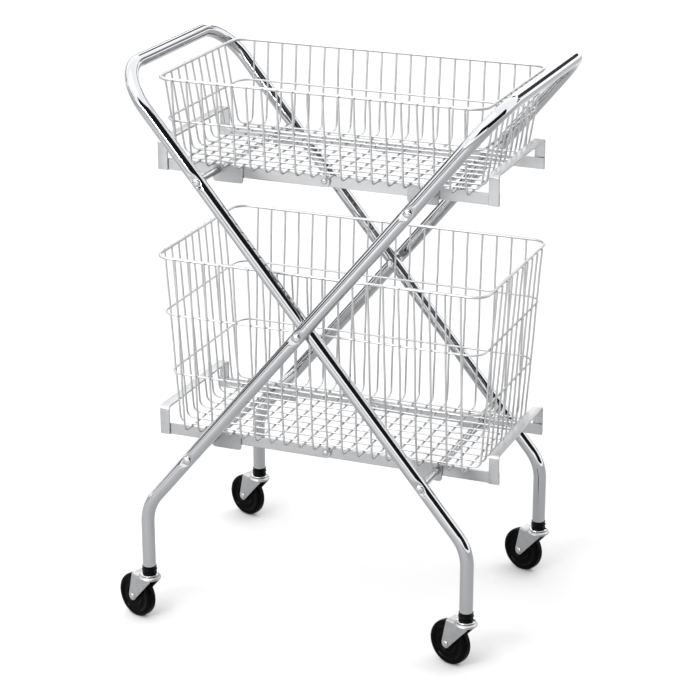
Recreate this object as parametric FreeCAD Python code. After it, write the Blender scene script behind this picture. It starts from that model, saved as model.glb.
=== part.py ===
import FreeCAD, Part
import math
import os

V = FreeCAD.Vector

# Folding X-frame cart with two lift-off wire baskets, on four swivel casters. Millimetres.
# Origin on the floor below the frame's centre. +X runs along the baskets towards the frame B
# handle, +Y away from the near side, +Z up. The frame A handle is at -X.

# Tube frames
TUBE_R = 11.1                       # 22.2 mm tube
TUBE_WALL = 2.0
HALF_WIDTH = {"a": 190.0, "b": 224.0}   # tube centre line to the middle plane
SIDE = {"a": 1, "b": -1}            # which way the casters stand: A at +X, B at -X
PIVOT_Z = 542.0                     # centre pivot height
LEG_ANGLE = math.radians(50.6)      # slanting legs, measured from the floor
LEG_X = 273.0                       # upright lower part of each leg
TUBE_END_Z = 102.0
HANDLE_X = 318.5                    # handle bar's centre line
HANDLE_BEND = 74.0
FOOT_BEND = 80.0

# Fasteners through the tubes
SEAT_DEPTH = 1.2                    # flat seat pressed into the tube under each bolt head
SEAT_R = 7.6
PIVOT_BOLT_R = 4.0
ROD_BOLT_R = 2.5
BOLT_HEAD_R = 7.0
BOLT_HEAD_H = 4.0
RUNNING_GAP = 0.06                  # radial clearance round a turning pin
FACE_GAP = 0.3                      # side clearance between parts that turn past each other

# Cross rods, and the basket supports that turn on them
ROD_R = 4.5
SLEEVE_R = 5.75                     # spacer sleeves on the rods, between support and leg
ROD_UPPER_Z = 765.0
ROD_LOWER_Z = 305.0
STRIP_T = 3.0                       # thickness of every flat strip
STRIP_W = 19.0                      # height of the side bars, strip on edge
SUPPORT_END_X = {"upper": 288.0, "lower": 298.0}
RAIL_W = 17.0                       # the end rails are a narrower strip
BAR_FACE_Y = {"left": 116.5, "right": 113.2}   # outer face of a half's side bars
RAIL_RISE = 50.0                    # end rail's top above the bottom edge of the side bars
RAIL_BEND = 6.0
PLATE_LENGTH = 52.0
PLATE_HEIGHT = 28.0
PLATE_BACK = 7.5                    # how far a pivot plate reaches outwards past its rod
PLATE_CORNER = 5.0
MID_RIVET_R = 3.0

# Wire baskets
RIM_R = 2.5
RING_R = 1.8
WIRE_R = 1.6
CROSS_COUNT = 20
CROSS_PITCH = 25.6
LONG_COUNT = 10
LONG_PITCH = 25.4
WIRE_BEND = 12.0
RIM_BEND = 25.0
BASKET_SHIFT_X = 2.5                # the baskets rest a little towards +X between the end rails
BASKETS = {                         # half length and half width of the rim and of the bottom
    "upper": {"rim": (274.0, 154.5), "rim_z": 914.0, "bottom": (255.0, 146.0), "rod_z": ROD_UPPER_Z,
              "rings": (847.0,)},
    "lower": {"rim": (281.5, 159.5), "rim_z": 620.0, "bottom": (264.0, 143.5), "rod_z": ROD_LOWER_Z,
              "rings": (522.5, 418.5)},
}

# Casters
WHEEL_R = 38.1                      # 3 in wheel
WHEEL_HALF_W = 9.25
TRAIL = 32.0                        # axle's offset from the swivel axis
TRAIL_DIR = V(-0.929, 0.370, 0.0)   # all four casters trail this way
AXLE_R = 4.0
FORK_T = 2.3
FORK_INNER = 10.8                   # inner face of a fork leg from the wheel's middle plane
FORK_TOP_Z = 82.0
RACE_R = 18.5
BUSHING_Z = 88.0                    # lower face of the plastic bushing
BUSHING_DEPTH = 28.0                # how far the bushing reaches up into the tube


def rounded_path(corners, radii, closed=False):
    """Straight runs joined by tangent arcs, one radius per turn; returns wire, start and direction."""
    if closed:
        middle = (corners[-1] + corners[0]) * 0.5
        corners = [middle] + corners + [middle]
    edges = []
    start = corners[0]
    for before, corner, after, radius in zip(corners, corners[1:], corners[2:], radii):
        back = (before - corner).normalize()
        ahead = (after - corner).normalize()
        half = back.getAngle(ahead) / 2
        reach = radius / math.tan(half)
        inward = (back + ahead).normalize()
        bend_middle = corner + inward * (radius / math.sin(half) - radius)
        first = corner + back * reach
        last = corner + ahead * reach
        edges.append(Part.LineSegment(start, first).toShape())
        edges.append(Part.Arc(first, bend_middle, last).toShape())
        start = last
    edges.append(Part.LineSegment(start, corners[-1]).toShape())
    return Part.Wire(edges), corners[0], (corners[1] - corners[0]).normalize()


def swept(path, radius):
    """A round bar carried along a path."""
    wire, start, direction = path
    profile = Part.Face(Part.Wire([Part.Circle(start, direction, radius).toShape()]))
    return wire.makePipe(profile).Solids[0]


def rod_y(x, z, y0, y1, radius):
    """A round bar along Y."""
    low, high = sorted((y0, y1))
    return Part.makeCylinder(radius, high - low, V(x, low, z), V(0, 1, 0))


def dome(x, y, z, outward, radius, height):
    """A domed head with its flat face at y, bulging towards outward (+1 or -1) along Y."""
    ball_r = (radius * radius + height * height) / (2 * height)
    centre = V(x, y + outward * (height - ball_r), z)
    ball = Part.makeSphere(ball_r, centre)
    keep = rod_y(x, z, y, y + outward * (height + 1), radius + 1)
    return ball.common(keep).Solids[0]


def slab(x0, x1, y0, y1, z0, z1):
    """A rectangular block between two corners, given in any order."""
    xs, ys, zs = sorted((x0, x1)), sorted((y0, y1)), sorted((z0, z1))
    return Part.makeBox(xs[1] - xs[0], ys[1] - ys[0], zs[1] - zs[0], V(xs[0], ys[0], zs[0]))


def save(name, solids):
    """Writes one node. Like solids that belong together share a file."""
    for solid in solids:
        assert solid.isValid() and solid.Volume > 1, name
    shape = solids[0] if len(solids) == 1 else Part.makeCompound(solids)
    shape.exportStep(f"parts/{name}.step")
    print(f"{name:32s} {len(solids):3d} solids {sum(s.Volume for s in solids) / 1000:9.2f} cm3")


def leg_x(z):
    """How far a slanting leg's centre line is from the pivot, along X, at a height."""
    return abs(z - PIVOT_Z) / math.tan(LEG_ANGLE)


def frame_tube(frame):
    """One bent tube: foot, slanting leg, handle bar across the top, slanting leg, foot."""
    side = SIDE[frame]
    width = HALF_WIDTH[frame]
    knee_z = PIVOT_Z - LEG_X * math.tan(LEG_ANGLE)
    handle_z = PIVOT_Z + HANDLE_X * math.tan(LEG_ANGLE)
    near = [V(side * LEG_X, -width, TUBE_END_Z), V(side * LEG_X, -width, knee_z),
            V(-side * HANDLE_X, -width, handle_z)]
    far = [V(p.x, -p.y, p.z) for p in reversed(near)]
    path = rounded_path(near + far, [FOOT_BEND, HANDLE_BEND, HANDLE_BEND, FOOT_BEND])
    tube = swept(path, TUBE_R).cut(swept(path, TUBE_R - TUBE_WALL))
    for y_side in (-1, 1):
        outside = y_side * (width + TUBE_R)
        for x, z, bolt_r in bolt_places(frame):
            tube = tube.cut(rod_y(x, z, y_side * (width - 2 * TUBE_R), y_side * (width + 2 * TUBE_R), bolt_r))
            if bolt_r == ROD_BOLT_R or frame == "b":
                tube = tube.cut(rod_y(x, z, outside - y_side * SEAT_DEPTH, outside + y_side * 5, SEAT_R))
    return tube.Solids[0]


def bolt_places(frame):
    """Where bolts cross a frame's legs: x, z and the hole's radius."""
    side = SIDE[frame]
    return [(0.0, PIVOT_Z, PIVOT_BOLT_R + RUNNING_GAP),
            (-side * leg_x(ROD_UPPER_Z), ROD_UPPER_Z, ROD_BOLT_R),
            (side * leg_x(ROD_LOWER_Z), ROD_LOWER_Z, ROD_BOLT_R)]


def pivot_set():
    """Bolt, spacer and nut of each centre pivot; the bolt runs through a leg of both frames."""
    bolts, spacers, nuts = [], [], []
    inner_face = HALF_WIDTH["a"] - TUBE_R - FACE_GAP
    spacer_in = HALF_WIDTH["a"] + TUBE_R + FACE_GAP
    spacer_out = HALF_WIDTH["b"] - TUBE_R - FACE_GAP
    head_face = HALF_WIDTH["b"] + TUBE_R - SEAT_DEPTH + FACE_GAP
    nut_t = 6.0
    nut_r = 7.5
    for s in (-1, 1):
        shank = rod_y(0, PIVOT_Z, s * (inner_face - nut_t), s * head_face, PIVOT_BOLT_R)
        head = dome(0, s * head_face, PIVOT_Z, s, BOLT_HEAD_R, BOLT_HEAD_H)
        bolts.append(shank.fuse(head).removeSplitter().Solids[0])
        ring = rod_y(0, PIVOT_Z, s * spacer_in, s * spacer_out, TUBE_R - 2)
        spacers.append(ring.cut(rod_y(0, PIVOT_Z, s * spacer_in, s * spacer_out, PIVOT_BOLT_R)).Solids[0])
        corners = [V(nut_r * math.cos(k * math.pi / 3), s * (inner_face - nut_t),
                     PIVOT_Z + nut_r * math.sin(k * math.pi / 3)) for k in range(7)]
        nut = Part.Face(Part.makePolygon(corners)).extrude(V(0, s * nut_t, 0))
        nuts.append(nut.cut(rod_y(0, PIVOT_Z, 0, s * 300, PIVOT_BOLT_R)).Solids[0])
    return bolts, spacers, nuts


def cross_rod(frame, x, z):
    """A rod between a frame's two legs, tapped at both ends, and its two domed bolts."""
    width = HALF_WIDTH[frame]
    end = width - TUBE_R
    tap = 16.0
    rod = rod_y(x, z, -end, end, ROD_R)
    bolts = []
    for s in (-1, 1):
        rod = rod.cut(rod_y(x, z, s * (end - tap), s * end, ROD_BOLT_R))
        face = s * (width + TUBE_R - SEAT_DEPTH)
        bolt = rod_y(x, z, s * (end - tap), face, ROD_BOLT_R)
        head = dome(x, face, z, s, BOLT_HEAD_R, BOLT_HEAD_H)
        bolts.append(bolt.fuse(head).removeSplitter().Solids[0])
    return rod.Solids[0], bolts


def rod_sleeves(frame, x, z, half):
    """Spacer sleeves on a rod: each fills the space from a pivot plate to the frame's leg."""
    face = BAR_FACE_Y[half] + STRIP_T + FACE_GAP
    end = HALF_WIDTH[frame] - TUBE_R
    sleeves = []
    for s in (-1, 1):
        sleeve = rod_y(x, z, s * face, s * end, SLEEVE_R)
        sleeves.append(sleeve.cut(rod_y(x, z, s * face, s * end, ROD_R)).Solids[0])
    return sleeves


def support_half(level, half, rod_z):
    """One half of a basket support: two side bars, the bowed end rail and two pivot plates, spot
    welded together. It turns on its cross rod and meets the other half at the mid-span rivets."""
    side = -1 if half == "left" else 1
    face = BAR_FACE_Y[half]
    rod_x = side * leg_x(rod_z)
    low = rod_z - STRIP_W / 2
    high = rod_z + STRIP_W / 2
    end_x = side * SUPPORT_END_X[level]
    bars, plates, mid_rivets = [], [], []
    for s in (-1, 1):
        bar = slab(end_x, 0, s * (face - STRIP_T), s * face, low, high)
        bar = bar.fuse(rod_y(0, rod_z, s * (face - STRIP_T), s * face, STRIP_W / 2)).removeSplitter()
        bar = bar.cut(rod_y(rod_x, rod_z, s * 90, s * 130, ROD_R + RUNNING_GAP))
        bar = bar.cut(rod_y(0, rod_z, s * 90, s * 130, MID_RIVET_R))
        bars.append(bar.Solids[0])
        plates.append(pivot_plate(side, rod_x, s, face, high))
        mid_rivets.append(mid_rivet(half, s, face, rod_z))
    return bars, end_rail(end_x, face, low), plates, mid_rivets


def pivot_plate(side, rod_x, s, face, top):
    """A plate outside the side bar, deeper than it, with its lower corners rounded."""
    outer = rod_x + side * PLATE_BACK
    inner = outer - side * PLATE_LENGTH
    plate = slab(outer, inner, s * face, s * (face + STRIP_T), top - PLATE_HEIGHT, top)
    edges = [e for e in plate.Edges
             if abs(e.BoundBox.ZMax - (top - PLATE_HEIGHT)) < 0.01 and e.BoundBox.YLength > 1]
    plate = plate.makeFillet(PLATE_CORNER, edges)
    rod_z = top - STRIP_W / 2
    return plate.cut(rod_y(rod_x, rod_z, s * 90, s * 130, ROD_R + RUNNING_GAP)).Solids[0]


def mid_rivet(half, s, face, rod_z):
    """The mid-span rivet, opened: its head and outer part are on the left half's bar, its closed
    tail and inner part on the right half's bar, with FACE_GAP between them."""
    shank = rod_y(0, rod_z, s * (face - STRIP_T), s * face, MID_RIVET_R)
    if half == "left":
        end = dome(0, s * face, rod_z, s, 5.2, 2.6)
    else:
        end = dome(0, s * (face - STRIP_T), rod_z, -s, 4.6, 1.8)
    return shank.fuse(end).removeSplitter().Solids[0]


def end_rail(end_x, face, low):
    """A flat strip bent into a low arch across the end: tab, top, tab, outside the side bars."""
    side = math.copysign(1, end_x)
    outside = face + STRIP_T
    top = low + RAIL_RISE
    outer_path = [V(0, -outside, low), V(0, -outside, top), V(0, outside, top), V(0, outside, low)]
    inner_path = [V(0, face, low), V(0, face, top - STRIP_T), V(0, -face, top - STRIP_T), V(0, -face, low)]
    outer_wire = rounded_path(outer_path, [RAIL_BEND, RAIL_BEND])[0]
    inner_wire = rounded_path(inner_path, [RAIL_BEND - STRIP_T, RAIL_BEND - STRIP_T])[0]
    feet = [Part.LineSegment(outer_path[3], inner_path[0]).toShape(),
            Part.LineSegment(inner_path[3], outer_path[0]).toShape()]
    outline = Part.Wire(Part.__sortEdges__(outer_wire.Edges + inner_wire.Edges + feet))
    rail = Part.Face(outline).extrude(V(side * RAIL_W, 0, 0))
    rail.translate(V(end_x - side * RAIL_W, 0, 0))
    edges = [e for e in rail.Edges if abs(e.CenterOfMass.x - end_x) < 0.01
             and abs(e.CenterOfMass.z - low) < 0.01 and e.BoundBox.YLength > 1]
    rail = rail.makeFillet(PLATE_CORNER, edges)
    return rail.Solids[0]


def basket(spec):
    """Rim, inner rings, wires across the depth and wires along the length, all touching."""
    floor_z = spec["rod_z"] + STRIP_W / 2 + WIRE_R
    rim_z = spec["rim_z"]
    top_half = [h + RIM_R + WIRE_R for h in spec["rim"]]
    foot_half = spec["bottom"]
    tip_z = rim_z + 1

    def wall(axis, z):
        share = (z - floor_z) / (rim_z - floor_z)
        return foot_half[axis] + (top_half[axis] - foot_half[axis]) * share

    def loop(z, half_x, half_y, radius):
        cx = BASKET_SHIFT_X
        corners = [V(cx - half_x, -half_y, z), V(cx + half_x, -half_y, z),
                   V(cx + half_x, half_y, z), V(cx - half_x, half_y, z)]
        return swept(rounded_path(corners, [RIM_BEND] * 4, closed=True), radius)

    rim = loop(rim_z, spec["rim"][0], spec["rim"][1], RIM_R)
    inset = WIRE_R + RING_R
    rings = [loop(z, wall(0, z) - inset, wall(1, z) - inset, RING_R) for z in spec["rings"]]
    cross = []
    for i in range(CROSS_COUNT):
        x = BASKET_SHIFT_X + (i - (CROSS_COUNT - 1) / 2) * CROSS_PITCH
        corners = [V(x, -wall(1, tip_z), tip_z), V(x, -foot_half[1], floor_z),
                   V(x, foot_half[1], floor_z), V(x, wall(1, tip_z), tip_z)]
        cross.append(swept(rounded_path(corners, [WIRE_BEND] * 2), WIRE_R))
    along = []
    upper_z = floor_z + 2 * WIRE_R
    for j in range(LONG_COUNT):
        y = (j - (LONG_COUNT - 1) / 2) * LONG_PITCH
        corners = [V(BASKET_SHIFT_X - wall(0, tip_z), y, tip_z),
                   V(BASKET_SHIFT_X - wall(0, upper_z), y, upper_z),
                   V(BASKET_SHIFT_X + wall(0, upper_z), y, upper_z),
                   V(BASKET_SHIFT_X + wall(0, tip_z), y, tip_z)]
        along.append(swept(rounded_path(corners, [WIRE_BEND] * 2), WIRE_R))
    return rim, rings, cross, along


def revolved(x, y, outline):
    """A solid turned about the upright axis through x, y; outline is (radius, z) pairs."""
    points = [V(x + r, y, z) for r, z in outline]
    face = Part.Face(Part.makePolygon(points + [points[0]]))
    return face.revolve(V(x, y, 0), V(0, 0, 1), 360).Solids[0]


def caster_bushing(x, y):
    """Ribbed plastic bushing pushed into the tube's end, and the steel stem moulded in it with the
    fixed upper race below."""
    plug_r = TUBE_R - TUBE_WALL
    stem_r = 5.0
    top = TUBE_END_Z + BUSHING_DEPTH
    outline = [(stem_r, BUSHING_Z), (12.4, BUSHING_Z), (12.4, BUSHING_Z + 2), (10.4, BUSHING_Z + 3.2),
               (10.4, BUSHING_Z + 5.2), (12.6, BUSHING_Z + 6.4), (12.6, BUSHING_Z + 8.4),
               (10.6, BUSHING_Z + 9.6), (10.6, BUSHING_Z + 11.2), (12.0, TUBE_END_Z - 1.5),
               (12.0, TUBE_END_Z), (plug_r, TUBE_END_Z), (plug_r, top), (stem_r, top)]
    bushing = revolved(x, y, outline)
    race = 16.0
    stem = revolved(x, y, [(0, FORK_TOP_Z + 2.8), (race, FORK_TOP_Z + 2.8), (race, BUSHING_Z),
                           (stem_r, BUSHING_Z), (stem_r, top - 4), (0, top - 4)])
    return bushing, stem


def caster_fork(x, y):
    """Stamped fork: a dished race plate and two triangular legs down to the axle."""
    axis = V(x, y, 0)
    plate = revolved(x, y, [(0, FORK_TOP_Z - 0.4), (RACE_R - 4, FORK_TOP_Z - 0.4), (RACE_R, FORK_TOP_Z - 3.5),
                            (RACE_R + 1.0, FORK_TOP_Z - 1.5), (RACE_R - 3, FORK_TOP_Z + 2.5),
                            (0, FORK_TOP_Z + 2.5)])
    eye = V(TRAIL, 0, WHEEL_R)
    eye_r = 8.0
    root_z = FORK_TOP_Z + 0.5
    fork = plate
    for s in (-1, 1):
        back = V(24.0, 0, root_z)
        front = V(-13.5, 0, root_z)
        lower_front = V(-12.5, 0, root_z - 6)
        outline = Part.makePolygon([back, front, lower_front, V(TRAIL - 5.4, 0, WHEEL_R - 5.9),
                                    V(TRAIL + 7.9, 0, WHEEL_R + 1.4), back])
        leg = Part.Face(outline).extrude(V(0, FORK_T, 0))
        leg = leg.fuse(Part.makeCylinder(eye_r, FORK_T, eye, V(0, 1, 0)))
        leg.translate(V(0, FORK_INNER if s > 0 else -FORK_INNER - FORK_T, 0))
        web = slab(-12, 22, s * 4, s * (FORK_INNER + FORK_T), root_z - 1.5, root_z)
        turn_to_trail(leg, axis)
        turn_to_trail(web, axis)
        fork = fork.fuse(leg).fuse(web)
    bore = Part.makeCylinder(AXLE_R, 60, V(TRAIL, -30, WHEEL_R), V(0, 1, 0))
    turn_to_trail(bore, axis)
    fork = fork.cut(bore).removeSplitter()
    return fork.Solids[0]


def turn_to_trail(shape, axis):
    """Places a shape drawn with the trail along +X at a caster's swivel axis."""
    angle = math.degrees(math.atan2(TRAIL_DIR.y, TRAIL_DIR.x))
    shape.rotate(V(0, 0, 0), V(0, 0, 1), angle)
    shape.translate(axis)


def caster_axle(x, y):
    """Axle rivet through both fork legs, with a domed head each end."""
    reach = FORK_INNER + FORK_T
    axle = rod_y(TRAIL, WHEEL_R, -reach, reach, AXLE_R)
    for s in (-1, 1):
        axle = axle.fuse(dome(TRAIL, s * reach, WHEEL_R, s, 5.6, 2.6))
    axle = axle.removeSplitter()
    turn_to_trail(axle, V(x, y, 0))
    return axle.Solids[0]


def caster_wheel(x, y):
    """Hard wheel: crowned tread, a raised rim ring, a dished web and a hub on each side."""
    w = WHEEL_HALF_W
    r = WHEEL_R
    bore = AXLE_R + RUNNING_GAP
    side = [(bore, w + 1.2), (8.5, w + 1.2), (9.5, w - 1.5), (16.0, w - 2.2), (17.0, w - 1.2), (18.5, w - 1.2),
            (19.5, w - 2.4), (27.5, w - 2.0), (29.0, w - 0.2), (33.0, w - 0.2), (r - 1.6, w - 1.8), (r - 0.35, w - 4.5)]
    other = [(radius, -offset) for radius, offset in reversed(side)]
    points = [V(TRAIL + radius, offset, WHEEL_R) for radius, offset in side + [(r, 0)] + other]
    face = Part.Face(Part.makePolygon(points + [points[0]]))
    wheel = face.revolve(V(TRAIL, 0, WHEEL_R), V(0, 1, 0), 360).Solids[0]
    turn_to_trail(wheel, V(x, y, 0))
    return wheel


os.makedirs("parts", exist_ok=True)

pivot_bolts, pivot_spacers, pivot_nuts = pivot_set()
save("pivot_bolts", pivot_bolts)
save("pivot_spacers", pivot_spacers)
save("pivot_nuts", pivot_nuts)

for frame, side in SIDE.items():
    upper_half = "left" if frame == "a" else "right"
    lower_half = "right" if frame == "a" else "left"
    upper_x = -side * leg_x(ROD_UPPER_Z)
    lower_x = side * leg_x(ROD_LOWER_Z)
    upper_rod, upper_bolts = cross_rod(frame, upper_x, ROD_UPPER_Z)
    lower_rod, lower_bolts = cross_rod(frame, lower_x, ROD_LOWER_Z)
    save(f"frame_{frame}_tube", [frame_tube(frame)])
    save(f"frame_{frame}_upper_rod", [upper_rod])
    save(f"frame_{frame}_lower_rod", [lower_rod])
    save(f"frame_{frame}_rod_bolts", upper_bolts + lower_bolts)
    save(f"frame_{frame}_rod_sleeves", rod_sleeves(frame, upper_x, ROD_UPPER_Z, upper_half)
         + rod_sleeves(frame, lower_x, ROD_LOWER_Z, lower_half))
    feet = [(side * LEG_X, s * HALF_WIDTH[frame]) for s in (-1, 1)]
    fittings = [caster_bushing(x, y) for x, y in feet]
    save(f"frame_{frame}_bushings", [bushing for bushing, stem in fittings])
    save(f"frame_{frame}_caster_stems", [stem for bushing, stem in fittings])
    for (x, y), place in zip(feet, ("near", "far")):
        save(f"caster_{frame}_{place}_fork", [caster_fork(x, y)])
        save(f"caster_{frame}_{place}_axle", [caster_axle(x, y)])
        save(f"caster_{frame}_{place}_wheel", [caster_wheel(x, y)])

for level, rod_z in (("upper", ROD_UPPER_Z), ("lower", ROD_LOWER_Z)):
    for half in ("left", "right"):
        bars, rail, plates, mid_rivets = support_half(level, half, rod_z)
        save(f"{level}_{half}_side_bars", bars)
        save(f"{level}_{half}_end_rail", [rail])
        save(f"{level}_{half}_pivot_plates", plates)
        save(f"{level}_{half}_mid_rivets", mid_rivets)
    rim, rings, cross, along = basket(BASKETS[level])
    save(f"{level}_basket_rim", [rim])
    save(f"{level}_basket_rings", rings)
    save(f"{level}_basket_cross_wires", cross)
    save(f"{level}_basket_long_wires", along)
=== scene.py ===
import math

import bmesh
import bpy
import numpy as np
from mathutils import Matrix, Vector


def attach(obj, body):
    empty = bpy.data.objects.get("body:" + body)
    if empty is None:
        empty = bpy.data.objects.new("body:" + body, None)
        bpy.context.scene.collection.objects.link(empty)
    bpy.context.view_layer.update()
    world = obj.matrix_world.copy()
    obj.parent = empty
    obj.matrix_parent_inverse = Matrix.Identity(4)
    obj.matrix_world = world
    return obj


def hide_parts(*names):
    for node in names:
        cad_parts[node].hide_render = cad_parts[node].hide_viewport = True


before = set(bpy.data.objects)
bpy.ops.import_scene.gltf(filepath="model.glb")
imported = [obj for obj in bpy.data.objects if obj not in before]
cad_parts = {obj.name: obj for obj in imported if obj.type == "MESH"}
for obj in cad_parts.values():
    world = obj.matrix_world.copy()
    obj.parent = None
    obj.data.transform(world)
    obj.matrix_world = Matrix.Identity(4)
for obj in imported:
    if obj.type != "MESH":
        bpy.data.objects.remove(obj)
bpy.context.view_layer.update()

# ------------------------------------------------------------------ bent tube frames
# Two bent tubes of bright chromed steel, 22 mm across: foot, slanting leg, handle bar, leg, foot.
# Frame A's handle is at the left and its legs pass inside frame B's. Every bolt sits in a flat
# seat pressed into the tube. Sizes are in metres.

TUBE_R = 0.0111
PIVOT_Z = 0.542
LEG_ANGLE = math.radians(50.6)
LEG_X = 0.273
HANDLE_X = 0.3185
HANDLE_BEND = 0.074
FOOT_BEND = 0.080
TUBE_END_Z = 0.102
HALF_WIDTH = {"a": 0.190, "b": 0.224}
FOOT_SIDE = {"a": 1, "b": -1}
ROD_UPPER_Z = 0.765
ROD_LOWER_Z = 0.305
SEAT_DROP = 0.0032
SEAT_FLAT = 0.0060
SEAT_REACH = 0.0150
SEAT_SOFTNESS = 0.0006
LEG_ZONE_Y = 0.15
TUBE_STEP = 0.003
TUBE_SIDES = 44


class Value:
    """A number travelling through a finish: arithmetic on it adds Math nodes."""

    def __init__(self, finish, socket):
        self.finish = finish
        self.socket = socket

    def math(self, operation, first, second=0.0):
        return self.finish.node("ShaderNodeMath", {"operation": operation}, {0: first, 1: second})

    def __add__(self, other):
        return self.math("ADD", self, other)

    def __sub__(self, other):
        return self.math("SUBTRACT", self, other)

    def __rsub__(self, other):
        return self.math("SUBTRACT", other, self)

    def __mul__(self, other):
        return self.math("MULTIPLY", self, other)

    __radd__ = __add__
    __rmul__ = __mul__

    def over(self, limit):
        return self.math("GREATER_THAN", self, limit)

    def between(self, low, high):
        above = self.math("GREATER_THAN", self, low)
        return self.math("MULTIPLY", above, self.math("LESS_THAN", self, high))


class Nodes:
    """A node tree, built one node at a time."""

    def __init__(self, tree):
        self.tree = tree

    def node(self, kind, settings=None, sockets=None, output=0):
        """Adds one node: its settings first, then a number, colour or link on each socket."""
        made = self.tree.nodes.new(kind)
        for key, value in (settings or {}).items():
            setattr(made, key, value)
        for key, value in (sockets or {}).items():
            if isinstance(value, Value):
                self.tree.links.new(value.socket, made.inputs[key])
            else:
                made.inputs[key].default_value = value
        return Value(self, made.outputs[output])


class Finish(Nodes):
    """A finish put together round a material's Principled shader."""

    def __init__(self, name, **constants):
        self.material = bpy.data.materials.new(name)
        self.material.use_nodes = True
        super().__init__(self.material.node_tree)
        self.shader = self.tree.nodes["Principled BSDF"]
        for socket, value in constants.items():
            self.shader.inputs[socket.replace("_", " ")].default_value = value

    def feed(self, socket, value):
        self.tree.links.new(value.socket, self.shader.inputs[socket])

    def grain(self, scale, detail=4.0, stretch=(1.0, 1.0, 1.0)):
        """Noise in the object's own space, stretched along an axis for drawn or rolled metal."""
        here = self.node("ShaderNodeTexCoord", output="Object")
        spot = self.node("ShaderNodeMapping", sockets={"Vector": here, "Scale": stretch})
        return self.node("ShaderNodeTexNoise",
                         sockets={"Vector": spot, "Scale": scale, "Detail": detail})

    def blend(self, share, first, second):
        """A colour between two: the colour inputs of a Mix node are its sockets 6 and 7."""
        return self.node("ShaderNodeMix", {"data_type": "RGBA"},
                         {0: share, 6: (*first, 1.0), 7: (*second, 1.0)}, output=2)

    def bump(self, height, strength, distance):
        sockets = {"Height": height, "Strength": strength, "Distance": distance}
        self.feed("Normal", self.node("ShaderNodeBump", sockets=sockets))


def polished_chrome():
    """Mirror chrome over bent tube: faint clouding, fine scuffs and a trace of orange peel."""
    finish = Finish("polished_chrome", Metallic=1.0)
    cloud = finish.grain(11.0, detail=3.0)
    scuff = finish.grain(320.0, detail=2.0, stretch=(1.0, 1.0, 0.35))
    finish.feed("Base Color", finish.blend(cloud, (0.29, 0.295, 0.305), (0.34, 0.345, 0.355)))
    finish.feed("Roughness", 0.006 + cloud * 0.012 + scuff * 0.012)
    finish.bump(finish.grain(55.0, detail=2.0), 0.05, 0.0004)
    return finish.material


def piece_of(name, grids, material, sharp=35):
    """One mesh from a list of point grids. A grid is rows x columns x 3 and its columns run round
    and close on themselves. Rows that shrink to a point are merged, which closes the ends. Edges
    that turn by more than sharp degrees stay crisp."""
    points = []
    faces = []
    count = 0
    for grid in grids:
        rows, columns = grid.shape[:2]
        row = np.arange(rows - 1)[:, None] * columns + count
        here = np.arange(columns)[None, :]
        beside = (here + 1) % columns
        quads = [row + here, row + beside, row + columns + beside, row + columns + here]
        faces.append(np.stack(quads, axis=-1).reshape(-1, 4))
        points.append(grid.reshape(-1, 3))
        count += rows * columns
    mesh = bpy.data.meshes.new(name)
    mesh.from_pydata(np.concatenate(points).tolist(), [], np.concatenate(faces).tolist())
    work = bmesh.new()
    work.from_mesh(mesh)
    bmesh.ops.remove_doubles(work, verts=work.verts, dist=1e-6)
    work.to_mesh(mesh)
    work.free()
    mesh.polygons.foreach_set("use_smooth", np.ones(len(mesh.polygons), dtype=bool))
    mesh.set_sharp_from_angle(angle=math.radians(sharp))
    mesh.materials.append(material)
    piece = bpy.data.objects.new(name, mesh)
    bpy.context.scene.collection.objects.link(piece)
    return piece


def stand_in(piece, body, slot, *nodes):
    """Rides a finished piece on its body, in place of plainer nodes. The slot is not used."""
    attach(piece, body)
    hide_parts(*nodes)


def bent_line(corners, radii, step):
    """Stations along straight runs joined by arcs. Each arc starts short of its corner by its
    radius over the tangent of half the angle between the runs. Returns points and directions."""
    corners = np.array(corners, float)
    points = []
    headings = []
    start = corners[0]
    for before, corner, after, radius in zip(corners, corners[1:], corners[2:], radii):
        back = (before - corner) / np.linalg.norm(before - corner)
        ahead = (after - corner) / np.linalg.norm(after - corner)
        half = math.acos(float(back @ ahead)) / 2
        first = corner + back * radius / math.tan(half)
        centre = corner + (back + ahead) / np.linalg.norm(back + ahead) * radius / math.sin(half)
        count = max(1, round(np.linalg.norm(first - start) / step))
        points.append(start + (first - start) * np.arange(count)[:, None] / count)
        headings.append(np.repeat(-back[None], count, axis=0))
        sweep = math.pi - 2 * half
        count = max(5, round(sweep * radius / step))
        turn = sweep * np.arange(count)[:, None] / count
        out = (first - centre) / radius
        points.append(centre + radius * (out * np.cos(turn) - back * np.sin(turn)))
        headings.append(-back * np.cos(turn) - out * np.sin(turn))
        start = corner + ahead * radius / math.tan(half)
    run = corners[-1] - start
    count = max(1, round(np.linalg.norm(run) / step))
    points.append(start + run * np.arange(count + 1)[:, None] / count)
    headings.append(np.repeat(run[None] / np.linalg.norm(run), count + 1, axis=0))
    return np.concatenate(points), np.concatenate(headings)


def carried(points, headings, profile, lean, capped=True):
    """A closed profile carried along a line. Each profile point goes its first number along the
    direction nearest to lean and its second number square to that and to the heading."""
    first = np.array(lean, float) - (headings @ np.array(lean, float))[:, None] * headings
    first /= np.linalg.norm(first, axis=1)[:, None]
    second = np.cross(headings, first)
    grid = points[:, None] + first[:, None] * profile[..., :1] + second[:, None] * profile[..., 1:]
    if capped:
        ends = np.repeat(grid[[0, -1]].mean(axis=1, keepdims=True), grid.shape[1], axis=1)
        grid = np.concatenate([ends[:1], grid, ends[1:]])
    return grid


def circle(radius, sides):
    """A ring of points: radius times the cosine and sine of even turns."""
    turn = np.arange(sides) * 2 * math.pi / sides
    return radius * np.stack([np.cos(turn), np.sin(turn)], axis=1)


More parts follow.
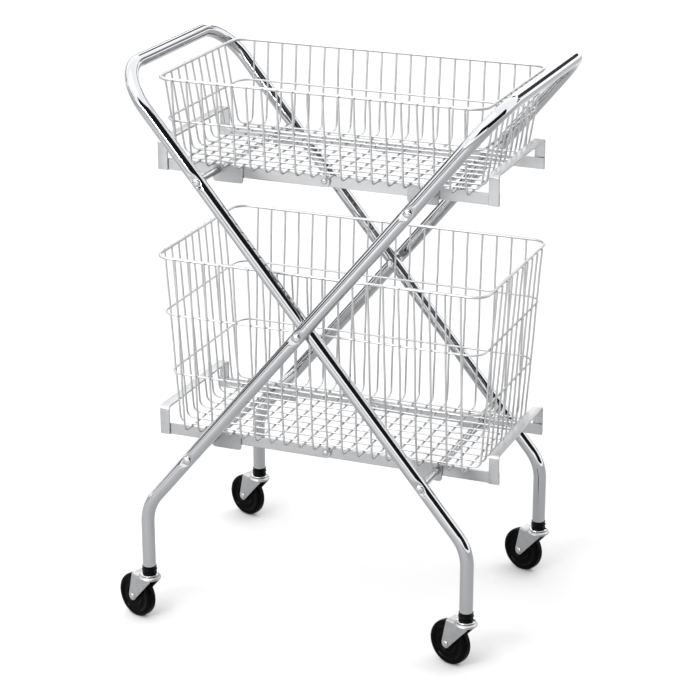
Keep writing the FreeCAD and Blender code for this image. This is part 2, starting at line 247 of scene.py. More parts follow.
def leg_x(z):
    """How far a slanting leg stands from the pivot at a height: the height over the slope."""
    return abs(z - PIVOT_Z) / math.tan(LEG_ANGLE)


def rod_spots(name):
    """Where a frame's upper and lower cross rods pass through its legs, as x and z."""
    side = FOOT_SIDE[name]
    return [(-side * leg_x(ROD_UPPER_Z), ROD_UPPER_Z), (side * leg_x(ROD_LOWER_Z), ROD_LOWER_Z)]


def pressed_seats(grid, name):
    """Lowers the outer side of a leg round each bolt: a flat seat that climbs back to the tube's
    surface with the smooth step 3t^2 - 2t^3 of the distance from the bolt. The lower of the two
    surfaces a and b is taken softly, as half of a + b - sqrt((a - b)^2 + softness^2). The handle
    bar, nearer the middle than the legs, is left alone."""
    width = HALF_WIDTH[name]
    from_middle = np.abs(grid[..., 1])
    out = from_middle - width
    for x, z in rod_spots(name) + [(0.0, PIVOT_Z)] * (name == "b"):
        away = np.hypot(grid[..., 0] - x, grid[..., 2] - z)
        t = np.clip((away - SEAT_FLAT) / (SEAT_REACH - SEAT_FLAT), 0, 1)
        limit = TUBE_R - SEAT_DROP * (1 - t * t * (3 - 2 * t))
        soft = 0.5 * (out + limit - np.sqrt((out - limit) ** 2 + SEAT_SOFTNESS ** 2))
        out = np.where((away < SEAT_REACH) & (out > 0), soft, out)
    pressed = np.where(from_middle > LEG_ZONE_Y, out + width, from_middle)
    grid[..., 1] = np.sign(grid[..., 1]) * pressed
    return grid


chrome = polished_chrome()
slope = math.tan(LEG_ANGLE)
for name, side in FOOT_SIDE.items():
    width = HALF_WIDTH[name]
    near = [(side * LEG_X, -width, TUBE_END_Z), (side * LEG_X, -width, PIVOT_Z - LEG_X * slope),
            (-side * HANDLE_X, -width, PIVOT_Z + HANDLE_X * slope)]
    far = [(x, -y, z) for x, y, z in reversed(near)]
    bends = [FOOT_BEND, HANDLE_BEND, HANDLE_BEND, FOOT_BEND]
    line, headings = bent_line(near + far, bends, TUBE_STEP)
    grid = carried(line, headings, circle(TUBE_R, TUBE_SIDES), (0.3, 1.0, 0.2))
    tube = piece_of(f"frame_{name}_bent_tube", [pressed_seats(grid, name)], chrome)
    stand_in(tube, f"frame_{name}", "chrome_tube", f"frame_{name}_tube")

# ------------------------------------------------------------------ rods and their sleeves
# Four straight steel rods join the legs of each frame and carry the basket supports. A plain
# sleeve on each end of a rod keeps the support away from the leg.

ROD_R = 0.0045
ROD_BITE = 0.0015
SLEEVE_R = 0.00575
SLEEVE_EASE = 0.0004
SLEEVE_GAP = 0.0003
SUPPORT_FACE = {"left": 0.1195, "right": 0.1162}
NEAR_AND_FAR = (-1, 1)


def turned(outline, centre, axis, sides):
    """An outline of (along, radius) pairs turned once round an axis through a centre: each pair
    gives a ring, centre plus along times the axis plus radius times a unit circle square to it.
    Ends that don't touch the axis are closed with a disc."""
    axis = np.array(axis, float) / np.linalg.norm(axis)
    along, radius = np.array(outline, float).T
    if radius[0] > 0:
        along, radius = np.append(along[0], along), np.append(0.0, radius)
    if radius[-1] > 0:
        along, radius = np.append(along, along[-1]), np.append(radius, 0.0)
    line = np.array(centre, float) + along[:, None] * axis
    ring = circle(1.0, sides)[None] * radius[:, None, None]
    upright = abs(axis[2]) > 0.9
    lean = np.array([1.0, 0.1, 0.0] if upright else [0.31, 0.2, 0.93])
    first = lean - axis * (lean @ axis)
    first /= np.linalg.norm(first)
    return line[:, None] + ring[..., :1] * first + ring[..., 1:] * np.cross(axis, first)


def drawn_rod():
    """Plated rod, drawn lengthways: brighter and darker streaks along it, slightly satin."""
    finish = Finish("plated_rod", Metallic=1.0)
    streak = finish.grain(140.0, detail=3.0, stretch=(1.0, 0.06, 1.0))
    finish.feed("Base Color", finish.blend(streak, (0.30, 0.305, 0.315), (0.46, 0.465, 0.47)))
    finish.feed("Roughness", 0.14 + streak * 0.14)
    finish.bump(streak, 0.12, 0.0002)
    return finish.material


rod_metal = drawn_rod()
for name in FOOT_SIDE:
    reach = HALF_WIDTH[name] - TUBE_R + ROD_BITE
    sleeves = []
    for level, (x, z) in zip(("upper", "lower"), rod_spots(name)):
        straight = [(-reach, ROD_R), (reach, ROD_R)]
        rod = piece_of(f"frame_{name}_{level}_cross_rod",
                       [turned(straight, (x, 0, z), (0, 1, 0), 28)], rod_metal)
        stand_in(rod, f"frame_{name}", "chrome_tube", f"frame_{name}_{level}_rod")
        face = SUPPORT_FACE["left" if x < 0 else "right"] + SLEEVE_GAP
        outline = [(face, SLEEVE_R - SLEEVE_EASE), (face + SLEEVE_EASE, SLEEVE_R), (reach, SLEEVE_R)]
        sleeves += [turned(outline, (x, 0, z), (0, way, 0), 32) for way in NEAR_AND_FAR]
    spacer = piece_of(f"frame_{name}_spacer_sleeves", sleeves, rod_metal)
    stand_in(spacer, f"frame_{name}", "zinc_bolts", f"frame_{name}_rod_sleeves")

# ------------------------------------------------------------------ bolts through the tubes
# Domed bolts of bright plated steel sit in the pressed seats: two at each rod, and a longer one
# at each centre pivot with a spacer between the frames and a nut on the inside.

HEAD_R = 0.0070
HEAD_H = 0.0042
HEAD_SINK = 0.0004
SKIRT = 0.0006
PIVOT_AT = (0.0, 0.0, PIVOT_Z)
SHANK_R = 0.0040
SPACER_R = 0.0090
SPACER_BITE = 0.0008
NUT_R = 0.0075


def bolt_metal():
    """Bright plated bolt head: mirror-like, with a slightly worn and mottled plating."""
    finish = Finish("bright_bolt", Metallic=1.0)
    mottle = finish.grain(420.0, detail=3.0)
    finish.feed("Base Color", finish.blend(mottle, (0.28, 0.285, 0.29), (0.42, 0.42, 0.425)))
    finish.feed("Roughness", 0.02 + mottle * 0.06)
    finish.bump(mottle, 0.08, 0.0001)
    return finish.material


def domed(foot, radius, height):
    """Outline of a domed head from its foot outwards: a short skirt, then a quarter ellipse,
    radius times the cosine against height times the sine."""
    turn = np.linspace(0, math.pi / 2, 9)
    rise = foot + SKIRT + (height - SKIRT) * np.sin(turn)
    return [(foot, radius - 0.0003)] + list(zip(rise, radius * np.cos(turn) + 1e-9))


bright = bolt_metal()
for name in FOOT_SIDE:
    seat = HALF_WIDTH[name] + TUBE_R - SEAT_DROP
    heads = [turned(domed(seat - HEAD_SINK, HEAD_R, HEAD_H), (x, 0, z), (0, way, 0), 32)
             for x, z in rod_spots(name) for way in NEAR_AND_FAR]
    bolts = piece_of(f"frame_{name}_domed_bolts", heads, bright)
    stand_in(bolts, f"frame_{name}", "zinc_bolts", f"frame_{name}_rod_bolts")

seat = HALF_WIDTH["b"] + TUBE_R - SEAT_DROP
inner = HALF_WIDTH["a"] - TUBE_R - 0.0003
shank = [(inner - 0.0075, 0.0032), (inner - 0.0068, SHANK_R), (seat - HEAD_SINK, SHANK_R)]
spacer = [(HALF_WIDTH["a"] + TUBE_R - SPACER_BITE, SPACER_R),
          (HALF_WIDTH["b"] - TUBE_R + SPACER_BITE, SPACER_R)]
nut = [(inner - 0.0060, 0.0062), (inner - 0.0052, NUT_R), (inner - 0.0004, NUT_R), (inner, 0.0070)]
for part, outline, sides, metal, slot, sharp in (
        ("bolts", shank + domed(seat - HEAD_SINK, HEAD_R, HEAD_H), 32, bright, "zinc_bolts", 35),
        ("spacers", spacer, 40, rod_metal, "chrome_tube", 35),
        ("nuts", nut, 6, bright, "zinc_bolts", 20)):
    pair = [turned(outline, PIVOT_AT, (0, way, 0), sides) for way in NEAR_AND_FAR]
    stand_in(piece_of(f"centre_pivot_{part}", pair, metal, sharp), "pivot", slot, f"pivot_{part}")

# ------------------------------------------------------------------ basket supports
# Two halves at each level, of plated flat steel strip: side bars on edge, an end rail bent into a
# low arch outside their ends, and a deeper plate outside each bar at the rod, all spot welded.

STRIP_T = 0.0030
BAR_H = 0.0190
RAIL_W = 0.0170
RAIL_RISE = 0.0500
SUPPORT_END = {"upper": 0.288, "lower": 0.298}
PLATE_LENGTH = 0.0520
PLATE_HEIGHT = 0.0280
PLATE_BACK = 0.0075
PLATE_CORNER = 0.005
RAIL_BEND = 0.0045
RIVET_SHANK = 0.003
EDGE = 0.0007


def satin_strip(name, dark, light, rough):
    """Plated strip, satin from rolling: fine lengthways streaks, speckle and soft clouding."""
    finish = Finish(name, Metallic=1.0)
    streak = finish.grain(180.0, detail=4.0, stretch=(0.07, 1.0, 1.0))
    speckle = finish.grain(900.0, detail=2.0)
    cloud = finish.grain(24.0, detail=3.0)
    share = 0.45 * streak + 0.35 * speckle + 0.2 * cloud
    finish.feed("Base Color", finish.blend(share, dark, light))
    finish.feed("Roughness", rough + speckle * 0.16 - cloud * 0.05)
    finish.bump(streak + speckle, 0.16, 0.00012)
    return finish.material


def flat_blank(outline, low, high):
    """A blank cut from strip, in the X-Z plane between two Y values. Its rings follow the outline.
    Where the cut edge is rounded they move inwards by EDGE times one minus the sine of the turn,
    and in from the face by EDGE times one minus its cosine."""
    outline = np.array(outline, float)
    ahead = np.roll(outline, -1, axis=0) - outline
    behind = outline - np.roll(outline, 1, axis=0)
    ahead /= np.linalg.norm(ahead, axis=1)[:, None]
    behind /= np.linalg.norm(behind, axis=1)[:, None]
    inward = np.stack([-(ahead + behind)[:, 1], (ahead + behind)[:, 0]], axis=1)
    inward /= np.linalg.norm(inward, axis=1)[:, None]
    turn = np.linspace(0, math.pi / 2, 5)
    inset = EDGE * (1 - np.sin(turn))
    depth = EDGE * (1 - np.cos(turn))
    shrink = np.concatenate([[3 * EDGE], inset, inset[::-1], [3 * EDGE]])
    y = np.concatenate([[high], high - depth, low + depth[::-1], [low]])
    ring = outline[None] + inward[None] * shrink[:, None, None]
    level_y = np.broadcast_to(y[:, None], ring.shape[:2])
    grid = np.stack([ring[..., 0], level_y, ring[..., 1]], axis=-1)
    middle = outline.mean(axis=0)
    caps = np.array([[[middle[0], value, middle[1]]] * len(outline) for value in (high, low)])
    return np.concatenate([caps[:1], grid, caps[1:]])


def fan(cx, cz, radius, start, stop, count=10):
    """Points on an arc: centre plus radius times the cosine and sine between two angles."""
    turn = np.radians(np.linspace(start, stop, count))
    return [(cx + radius * math.cos(t), cz + radius * math.sin(t)) for t in turn]


def bar_outline(end, z):
    """A side bar: square at its outer end, a half circle round the mid-span rivet."""
    half = BAR_H / 2
    if end < 0:
        return fan(0, z, half, -90, 90) + [(end, z + half), (end, z - half)]
    return fan(0, z, half, 90, 270) + [(end, z - half), (end, z + half)]


def plate_outline(rod_x, side, z):
    """A pivot plate: level with the bar's top, lower corners rounded."""
    start, stop = sorted((rod_x + side * PLATE_BACK, rod_x + side * (PLATE_BACK - PLATE_LENGTH)))
    top = z + BAR_H / 2
    turn_z = top - PLATE_HEIGHT + PLATE_CORNER
    return (fan(start + PLATE_CORNER, turn_z, PLATE_CORNER, 180, 270, 7)
            + fan(stop - PLATE_CORNER, turn_z, PLATE_CORNER, 270, 360, 7)
            + [(stop, top), (start, top)])


def strip_profile(width, thickness):
    """Section of a strip: a rectangle with its corners rounded by EDGE."""
    u, v = width / 2 - EDGE, thickness / 2 - EDGE
    corners = ((u, v, 0), (-u, v, 90), (-u, -v, 180), (u, -v, 270))
    return np.array([point for cx, cy, start in corners
                     for point in fan(cx, cy, EDGE, start, start + 90, 5)])


def two_sides(near_face, far_face):
    """The Y spans of two like strips, one each side of the middle, low value first."""
    return [sorted((way * near_face, way * far_face)) for way in NEAR_AND_FAR]


strip_metal = satin_strip("satin_strip", (0.25, 0.255, 0.26), (0.365, 0.365, 0.37), 0.26)
plate_metal = satin_strip("dull_plate", (0.20, 0.205, 0.21), (0.31, 0.315, 0.32), 0.32)
for level, z in (("upper", ROD_UPPER_Z), ("lower", ROD_LOWER_Z)):
    for half, side in (("left", -1), ("right", 1)):
        face = SUPPORT_FACE[half] - STRIP_T
        back_face = face - STRIP_T
        end = side * SUPPORT_END[level]
        piece = f"{level}_{half}"
        body = f"{piece}_support"

        outline = bar_outline(end, z)
        bars = piece_of(f"{piece}_flat_bars",
                        [flat_blank(outline, *span) for span in two_sides(back_face, face)], strip_metal)
        stand_in(bars, body, "plated_strip", f"{piece}_side_bars")

        outline = plate_outline(side * leg_x(z), side, z)
        plates = piece_of(f"{piece}_rod_plates",
                          [flat_blank(outline, *span) for span in two_sides(face, face + STRIP_T)],
                          plate_metal)
        stand_in(plates, body, "plated_strip", f"{piece}_pivot_plates")

        low = z - BAR_H / 2
        x, y, top = end - side * RAIL_W / 2, face + STRIP_T / 2, low + RAIL_RISE - STRIP_T / 2
        line, headings = bent_line([(x, -y, low), (x, -y, top), (x, y, top), (x, y, low)],
                                   [RAIL_BEND] * 2, 0.004)
        section = strip_profile(RAIL_W, STRIP_T)
        rail = piece_of(f"{piece}_bent_rail", [carried(line, headings, section, (1, 0, 0))], strip_metal)
        stand_in(rail, body, "plated_strip", f"{piece}_end_rail")

        if half == "left":
            foot = face - 0.0002
            outline = [(back_face, RIVET_SHANK), (foot, RIVET_SHANK)] + domed(foot, 0.0052, 0.0027)
        else:
            tail = domed(0, 0.0046, 0.0018)[::-1]
            outline = [(back_face - along, radius) for along, radius in tail] + [(face, RIVET_SHANK)]
        rivets = piece_of(f"{piece}_middle_rivets",
                          [turned(outline, (0, 0, z), (0, way, 0), 28) for way in NEAR_AND_FAR], bright)
        stand_in(rivets, body, "zinc_bolts", f"{piece}_mid_rivets")

# ------------------------------------------------------------------ wire baskets
# Two baskets of bright plated wire, resistance welded: a thick rim, thinner rings inside the
# walls, twenty U-shaped wires across and ten along, bent round at the bottom edges.

RIM_R = 0.0025
RING_R = 0.0018
WIRE_R = 0.0016
WIRE_BEND = 0.012
WIRE_SIDES = 12
WIRE_STEP = 0.010
RIM_BEND = 0.025
SHIFT_X = 0.0025
CROSS_WIRES = 20
CROSS_PITCH = 0.0256
LONG_WIRES = 10
LONG_PITCH = 0.0254
BASKETS = {
    "upper": dict(rim=(0.2740, 0.1545), rim_z=0.914, bottom=(0.2550, 0.1460), rod_z=ROD_UPPER_Z,
                  rings=(0.847,), seed=40),
    "lower": dict(rim=(0.2815, 0.1595), rim_z=0.620, bottom=(0.2640, 0.1435), rod_z=ROD_LOWER_Z,
                  rings=(0.5225, 0.4185), seed=80),
}


def plated_wire():
    """Bright plated wire: mirror-like along most of it, duller in patches."""
    finish = Finish("plated_wire", Metallic=1.0)
    patch = finish.grain(30.0, detail=3.0)
    fine = finish.grain(700.0, detail=2.0)
    finish.feed("Base Color", finish.blend(patch, (0.315, 0.32, 0.325), (0.435, 0.435, 0.44)))
    finish.feed("Roughness", 0.26 + patch * 0.14 + fine * 0.06)
    finish.bump(fine, 0.10, 0.0001)
    return finish.material


def wavering(line, seed, amount=0.00022):
    """A drawn wire is never quite straight: two slow sine waves of random phase are added, the
    second six tenths as high. The amount is the height of the first, in metres."""
    phase = np.random.default_rng(seed).uniform(0, 2 * math.pi, (2, 3))
    steps = np.linalg.norm(np.diff(line, axis=0), axis=1)
    along = np.concatenate([[0.0], np.cumsum(steps)])[:, None]
    wave = np.sin(along * 31 + phase[0]) + 0.6 * np.sin(along * 83 + phase[1])
    return line + amount * wave


def ring_grid(half, z, radius, sides):
    """A closed ring with rounded corners, starting and ending midway along its near side."""
    a, b = half
    corners = [(SHIFT_X, -b, z), (SHIFT_X + a, -b, z), (SHIFT_X + a, b, z), (SHIFT_X - a, b, z),
               (SHIFT_X - a, -b, z), (SHIFT_X, -b, z)]
    line, headings = bent_line(corners, [RIM_BEND] * 4, 0.012)
    return carried(line, headings, circle(radius, sides), (0, 0, 1), capped=False)


def bent_wire(corners, seed, lean):
    """A U-shaped wire: up, across and down through four corners, wavering a little."""
    line, headings = bent_line(corners, [WIRE_BEND] * 2, WIRE_STEP)
    return carried(wavering(line, seed), headings, circle(WIRE_R, WIRE_SIDES), lean)


wire_metal = plated_wire()
for level, spec in BASKETS.items():
    body = f"{level}_basket"
    floor_z = spec["rod_z"] + BAR_H / 2 + WIRE_R
    top_half = np.array(spec["rim"]) + RIM_R + WIRE_R
    foot_half = np.array(spec["bottom"])
    tip_z = spec["rim_z"] + 0.001

    def wall(z):
        """Half length and half width of the wall at a height, in a straight line up the wall."""
        return foot_half + (top_half - foot_half) * (z - floor_z) / (spec["rim_z"] - floor_z)

    rim = piece_of(f"{level}_rim_wire", [ring_grid(spec["rim"], spec["rim_z"], RIM_R, 18)],
                   wire_metal)
    stand_in(rim, body, "plated_wire", f"{level}_basket_rim")
    rings = [ring_grid(wall(z) - WIRE_R - RING_R, z, RING_R, 14) for z in spec["rings"]]
    stand_in(piece_of(f"{level}_ring_wires", rings, wire_metal), body, "plated_wire",
             f"{level}_basket_rings")

    tip_a, tip_b = wall(tip_z)
    foot_b = foot_half[1]
    across = []
    for i in range(CROSS_WIRES):
        x = SHIFT_X + (i - (CROSS_WIRES - 1) / 2) * CROSS_PITCH
        corners = [(x, -tip_b, tip_z), (x, -foot_b, floor_z), (x, foot_b, floor_z), (x, tip_b, tip_z)]
        across.append(bent_wire(corners, spec["seed"] + i, (1, 0, 0)))
    stand_in(piece_of(f"{level}_wires_across", across, wire_metal), body, "plated_wire",
             f"{level}_basket_cross_wires")

    low = floor_z + 2 * WIRE_R
    low_a = wall(low)[0]
    along = []
    for j in range(LONG_WIRES):
        y = (j - (LONG_WIRES - 1) / 2) * LONG_PITCH
        corners = [(SHIFT_X - tip_a, y, tip_z), (SHIFT_X - low_a, y, low),
                   (SHIFT_X + low_a, y, low), (SHIFT_X + tip_a, y, tip_z)]
        along.append(bent_wire(corners, spec["seed"] + CROSS_WIRES + j, (0, 1, 0)))
    stand_in(piece_of(f"{level}_wires_along", along, wire_metal), body, "plated_wire",
             f"{level}_basket_long_wires")

# ------------------------------------------------------------------ bushings and stems
# A ribbed bushing of black plastic is pushed into each tube end. A steel stem moulded into it
# carries the fixed upper race of the caster.

BUSHING_Z = 0.0880
FORK_TOP_Z = 0.0820
UP = (0, 0, 1)
NEAR_BLACK = ((0.0005, 0.0005, 0.0006), (0.0014, 0.0014, 0.0015))
CASTERS = [(name, place, side * LEG_X, way * HALF_WIDTH[name])
           for name, side in FOOT_SIDE.items() for place, way in (("near", -1), ("far", 1))]


def softened(outline, radius, steps=4):
    """An outline with its corners eased: each becomes a quadratic curve from radius before it to
    radius after it, (1-t)^2 a + 2t(1-t) b + t^2 c, or less where an edge is short."""
    outline = np.array(outline, float)
    edge = np.linalg.norm(np.diff(outline, axis=0), axis=1)
    middle = outline[1:-1]
    before = middle + (outline[:-2] - middle) * np.minimum(radius / edge[:-1], 0.48)[:, None]
    after = middle + (outline[2:] - middle) * np.minimum(radius / edge[1:], 0.48)[:, None]
    t = np.linspace(0, 1, steps)[None, :, None]
    curve = (1 - t) ** 2 * before[:, None] + 2 * t * (1 - t) * middle[:, None] + t ** 2 * after[:, None]
    return np.concatenate([outline[:1], curve.reshape(-1, 2), outline[-1:]])


def bushing_plastic():
    """Moulded black plastic, slightly glossy, with the fine matt grain of its mould."""
    finish = Finish("black_bushing", Specular_IOR_Level=0.05)
    grain = finish.grain(800.0, detail=3.0)
    cloud = finish.grain(60.0, detail=2.0)
    finish.feed("Base Color", finish.blend(cloud, *NEAR_BLACK))
    finish.feed("Roughness", 0.08 + grain * 0.10)
    finish.bump(grain, 0.08, 0.00015)
    return finish.material


def caster_steel():
    """Stamped steel with bright zinc plating: satin, mottled, with faint drawing marks."""
    finish = Finish("zinc_stamping", Metallic=1.0)
    mottle = finish.grain(90.0, detail=4.0)
    speckle = finish.grain(750.0, detail=2.0)
    share = 0.7 * mottle + 0.3 * speckle
    finish.feed("Base Color", finish.blend(share, (0.23, 0.235, 0.24), (0.36, 0.36, 0.365)))
    finish.feed("Roughness", 0.24 + speckle * 0.14)
    finish.bump(mottle + 0.5 * speckle, 0.12, 0.0002)
    return finish.material


bushing_black = bushing_plastic()
stamped = caster_steel()
foot_z, mouth_z = BUSHING_Z, TUBE_END_Z
bushing_outline = softened([
    (foot_z, 0.0050), (foot_z, 0.0122), (foot_z + 0.0020, 0.0124), (foot_z + 0.0032, 0.0102),
    (foot_z + 0.0050, 0.0102), (foot_z + 0.0062, 0.0128), (foot_z + 0.0084, 0.0128),
    (foot_z + 0.0096, 0.0104), (foot_z + 0.0112, 0.0104), (mouth_z - 0.0016, 0.0122),
    (mouth_z + 0.0001, 0.0121), (mouth_z + 0.0001, 0.0090), (mouth_z + 0.02, 0.0090)], 0.0007)
upper_race = softened([
    (FORK_TOP_Z + 0.0028, 0.0), (FORK_TOP_Z + 0.0028, 0.0155), (FORK_TOP_Z + 0.0040, 0.0163),
    (foot_z - 0.0006, 0.0155), (foot_z, 0.0120)], 0.0006)
for name in FOOT_SIDE:
    body = f"frame_{name}"
    feet = [(x, y, 0) for frame_name, place, x, y in CASTERS if frame_name == name]
    bushings = piece_of(f"frame_{name}_ribbed_bushings",
                        [turned(bushing_outline, foot, UP, 40) for foot in feet], bushing_black)
    stand_in(bushings, body, "black_bushings", f"frame_{name}_bushings")
    races = piece_of(f"frame_{name}_upper_races",
                     [turned(upper_race, foot, UP, 40) for foot in feet], bright)
    stand_in(races, body, "caster_steel", f"frame_{name}_caster_stems")

# ------------------------------------------------------------------ caster forks and axles
# Each fork is stamped from one strip: a flat crown under the race, bent down into two legs that
# taper to a round eye. The axle rivet is headed over at both ends.

TRAIL = 0.032
TRAIL_TURN = math.atan2(0.370, -0.929)
WHEEL_R = 0.0381
FORK_T = 0.0023
FORK_INNER = 0.0108
FORK_OUTER = FORK_INNER + FORK_T
EYE_R = 0.0076
CROWN_FRONT_X = -0.0125
CROWN_BACK_X = 0.0310
FRONT_BEND_Z = 0.0760
FRONT_TANGENT_Z = 0.0330
BACK_TANGENT_Z = 0.0395


def trailing(grid, x, y):
    """Turns a grid drawn with its trail along +X round to the caster's heading, and moves it:
    x cos - y sin against x sin + y cos."""
    cos, sin = math.cos(TRAIL_TURN), math.sin(TRAIL_TURN)
    gx, gy = grid[..., 0], grid[..., 1]
    return np.stack([x + cos * gx - sin * gy, y + sin * gx + cos * gy, grid[..., 2]], axis=-1)


def fork_grid():
    """The folded strip. Its front edge slopes to the eye and its back edge is nearly upright.
    Below the tangent points both follow the eye's circle, x = trail -/+ sqrt(r^2 - z^2), with z
    counted from the axle. A 10 mm strip's section is spread to the width between the edges."""
    y, low, top = FORK_INNER + FORK_T / 2, WHEEL_R - EYE_R, FORK_TOP_Z
    line, headings = bent_line([(0, -y, low), (0, -y, top), (0, y, top), (0, y, low)],
                               [0.0035] * 2, 0.0012)
    z = line[:, 2]
    round_part = np.sqrt(np.clip(EYE_R ** 2 - (z - WHEEL_R) ** 2, 0, None))
    sloping = CROWN_FRONT_X + (FRONT_BEND_Z - np.minimum(z, FRONT_BEND_Z)) / 1.10
    front = np.where(z > FRONT_TANGENT_Z, sloping, TRAIL - round_part)
    back = np.where(z > BACK_TANGENT_Z, CROWN_BACK_X + (top - z) * 0.215, TRAIL + round_part)
    half = np.maximum((back - front) / 2, 0.0008)
    corner = strip_profile(0.01, FORK_T)
    reach = np.sign(corner[:, 0]) * (half[:, None] - 0.005) + corner[:, 0]
    thick = np.broadcast_to(corner[:, 1], reach.shape)
    profile = np.stack([(front + back)[:, None] / 2 + reach, thick], axis=-1)
    return carried(line, headings, profile, (1, 0, 0))


def mirrored(outline):
    """An outline given from the middle outwards, completed with its mirror image before it."""
    return [(-along, radius) for along, radius in reversed(outline)] + outline


top_z = FORK_TOP_Z
lower_race = softened([
    (top_z - 0.0004, 0.0), (top_z - 0.0004, 0.0140), (top_z - 0.0036, 0.0180),
    (top_z - 0.0026, 0.0192), (top_z - 0.0005, 0.0191), (top_z + 0.0025, 0.0158),
    (top_z + 0.0025, 0.0)], 0.0012)
kingpin = softened([(top_z - 0.0045, 0.0), (top_z - 0.0045, 0.0050), (top_z - 0.0030, 0.0066),
                    (top_z - 0.0002, 0.0068)], 0.001)
axle = turned(mirrored(domed(FORK_OUTER - 0.0002, 0.0056, 0.0026)), (TRAIL, 0, WHEEL_R), (0, 1, 0), 28)
for name, place, x, y in CASTERS:
    caster = f"caster_{name}_{place}"
    fork = piece_of(f"{caster}_stamped_fork",
                    [trailing(fork_grid(), x, y), turned(lower_race, (x, y, 0), UP, 44),
                     turned(kingpin, (x, y, 0), UP, 28)], stamped)
    stand_in(fork, caster, "caster_steel", f"{caster}_fork")
    rivet = piece_of(f"{caster}_axle_rivet", [trailing(axle, x, y)], bright)
    stand_in(rivet, caster, "caster_steel", f"{caster}_axle")

# ------------------------------------------------------------------ wheels
# Hard black wheels, moulded in one piece: a hub, a dished web with a raised ring, and a crowned
# tread, glossy all over.


def wheel_black():
    """Glossy black moulding with faint flow marks."""
    finish = Finish("wheel_black", Specular_IOR_Level=0.025)
    cloud = finish.grain(70.0, detail=3.0)
    grit = finish.grain(900.0, detail=3.0)
    finish.feed("Base Color", finish.blend(cloud, *NEAR_BLACK))
    finish.feed("Roughness", 0.06 + cloud * 0.05 + grit * 0.05)
    finish.bump(grit, 0.05, 0.00015)
    return finish.material


flank = 0.00925
half_outline = [
    (flank + 0.0012, 0.0), (flank + 0.0012, 0.0078), (flank - 0.0012, 0.0092),
    (flank - 0.0024, 0.0110), (flank - 0.0024, 0.0158), (flank - 0.0010, 0.0172),
    (flank - 0.0010, 0.0188), (flank - 0.0026, 0.0202), (flank - 0.0026, 0.0268),
    (flank - 0.0006, 0.0290), (flank - 0.0003, 0.0330), (flank - 0.0020, 0.0368),
    (flank - 0.0050, WHEEL_R - 0.0002), (0.0022, WHEEL_R)]
far_half = [(-along, radius) for along, radius in reversed(half_outline)]
wheel_outline = softened(half_outline + far_half, 0.0010)[::-1]
wheel_grid = turned(wheel_outline, (TRAIL, 0, WHEEL_R), (0, 1, 0), 72)
wheel_finish = wheel_black()
for name, place, x, y in CASTERS:
    wheel = piece_of(f"caster_{name}_{place}_hard_wheel", [trailing(wheel_grid, x, y)], wheel_finish)
    stand_in(wheel, f"wheel_{name}_{place}", "black_wheels", f"caster_{name}_{place}_wheel")

# ------------------------------------------------------------------ floor and light
# A plain pale floor in an even white room. Dark screens and narrow slats stand round it, which the
# chrome mirrors as its black stripes. A soft lamp hangs overhead and a low one lights the front.


def floor_white():
    """Matt white floor with a barely visible unevenness."""
    finish = Finish("studio_floor", Roughness=0.9)
    cloud = finish.grain(1.5, detail=2.0)
    finish.feed("Base Color", finish.blend(cloud, (0.435, 0.435, 0.435), (0.455, 0.455, 0.455)))
    return finish.material


FLOOR_HALF = 30.0
corners = [(u * FLOOR_HALF, v * FLOOR_HALF, 0) for u, v in ((-1, -1), (1, -1), (1, 1), (-1, 1))]
floor_mesh = bpy.data.meshes.new("studio_floor")
floor_mesh.from_pydata(corners, [], [(0, 1, 2, 3)])
floor_mesh.materials.append(floor_white())
floor = bpy.data.objects.new("studio_floor", floor_mesh)
bpy.context.scene.collection.objects.link(floor)

world = bpy.data.worlds.new("white_room")
bpy.context.scene.world = world
world.use_nodes = True
room = Nodes(world.node_tree)
direction = room.node("ShaderNodeTexCoord", output="Generated")
split = room.node("ShaderNodeSeparateXYZ", sockets={0: direction})
east, north, rise = (Value(room, split.socket.node.outputs[i]) for i in range(3))
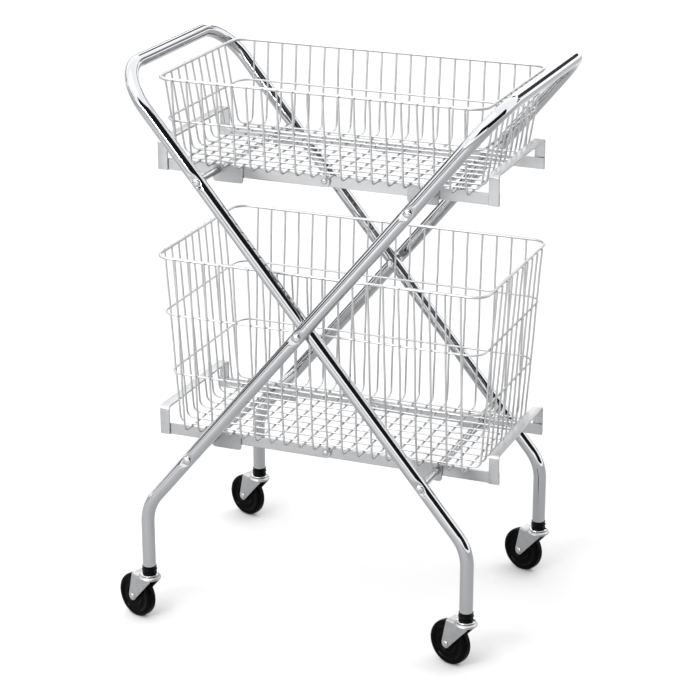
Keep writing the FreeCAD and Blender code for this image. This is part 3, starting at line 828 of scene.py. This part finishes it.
# A screen is a stretch of headings in radians, counted from +X towards +Y, and of rises, the
# sine of the height above the horizon.
heading = room.node("ShaderNodeMath", {"operation": "ARCTAN2"}, {0: north, 1: east})
right_screen = (heading.between(-1.70, 0.25) * rise.between(0.28, 0.70)
                + heading.between(-0.75, 0.25) * rise.between(0.07, 0.28))
left_screen = heading.over(1.95) * rise.between(0.07, 0.26)
front_slat = heading.between(-3.05, -2.35) * rise.between(0.05, 0.16)
back_slats = (heading.between(1.24, 1.56) * rise.between(0.20, 0.385)
              + heading.between(1.60, 1.85) * rise.between(0.40, 0.54)
              + 0.9 * (heading.between(0.90, 1.20) * rise.between(0.10, 0.25))
              + 0.7 * (heading.between(1.05, 1.24) * rise.between(0.25, 0.34)))
light_level = 2.7 - 2.67 * right_screen - 2.6 * (left_screen + front_slat + back_slats)
background = world.node_tree.nodes["Background"]
background.inputs["Color"].default_value = (1.0, 1.0, 1.0, 1.0)
world.node_tree.links.new(light_level.socket, background.inputs["Strength"])

for name, width, depth, watts, place, target in (
        ("soft_overhead", 3.0, 3.0, 25.0, (-0.9, -1.2, 3.4), (0.0, 0.0, 0.5)),
        ("front_key", 1.4, 0.25, 75.0, (-0.6, -2.1, 1.2), (-0.6, -2.0, 0.0))):
    lamp = bpy.data.lights.new(name, "AREA")
    lamp.shape = "RECTANGLE"
    lamp.size = width
    lamp.size_y = depth
    lamp.energy = watts
    lamp_place = bpy.data.objects.new(name, lamp)
    lamp_place.location = place
    lamp_place.rotation_euler = (Vector(target) - Vector(place)).to_track_quat("-Z", "Y").to_euler()
    bpy.context.scene.collection.objects.link(lamp_place)

# ------------------------------------------------------------------ camera
# A long lens from the front right, a little above the handles.

camera = bpy.data.cameras.new("camera")
camera.sensor_width = 36.0
camera.lens = 119.2
azimuth, lift, distance = math.radians(22.0), math.radians(20.2), 3.838
aim = Vector((-0.0024, -0.0025, 0.4446))
back = Vector((math.sin(azimuth) * math.cos(lift), -math.cos(azimuth) * math.cos(lift), math.sin(lift)))
camera_place = bpy.data.objects.new("camera", camera)
camera_place.location = aim + back * distance
camera_place.rotation_mode = "QUATERNION"
camera_place.rotation_quaternion = (-back).to_track_quat("-Z", "Y")
bpy.context.scene.collection.objects.link(camera_place)
bpy.context.scene.camera = camera_place
bpy.context.scene.view_settings.view_transform = "Standard"
